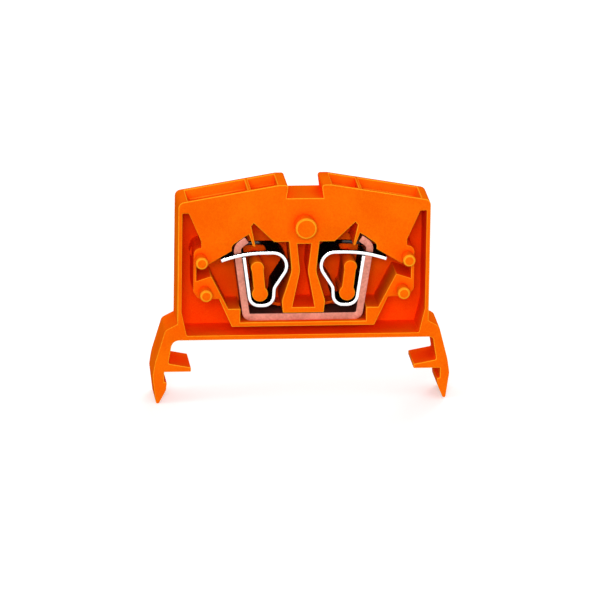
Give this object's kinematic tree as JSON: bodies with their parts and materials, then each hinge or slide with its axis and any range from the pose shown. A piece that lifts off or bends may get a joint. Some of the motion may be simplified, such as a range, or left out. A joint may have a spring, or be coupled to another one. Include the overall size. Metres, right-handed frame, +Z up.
{
  "type": "feed-through terminal block",
  "caption": "Slim feed-through terminal block that clips on a rail: an open-sided moulded housing with wire funnels, tool slots and feet, holding a bent current bar and folded clamp springs.",
  "frame": {"origin": "middle of the seat plane on which the feet's pads rest, midway between the two feet and midway through the body's thickness", "axes": "+Z up from the seat to the wire funnels, +Y from the open side to the closed back and along the mounting rail, +X across from the left foot to the right foot"},
  "size_m": [0.0378, 0.0082, 0.0286],
  "materials": {
    "housing_plastic": "orange moulded polyamide, satin",
    "bar_copper": "bare copper strip, dull",
    "spring_steel": "bright rolled spring steel"
  },
  "bodies": {
    "root": {"housing": "housing_plastic", "current_bar": "bar_copper", "left_clamp_spring": "spring_steel", "right_clamp_spring": "spring_steel"}
  },
  "joints": []
}
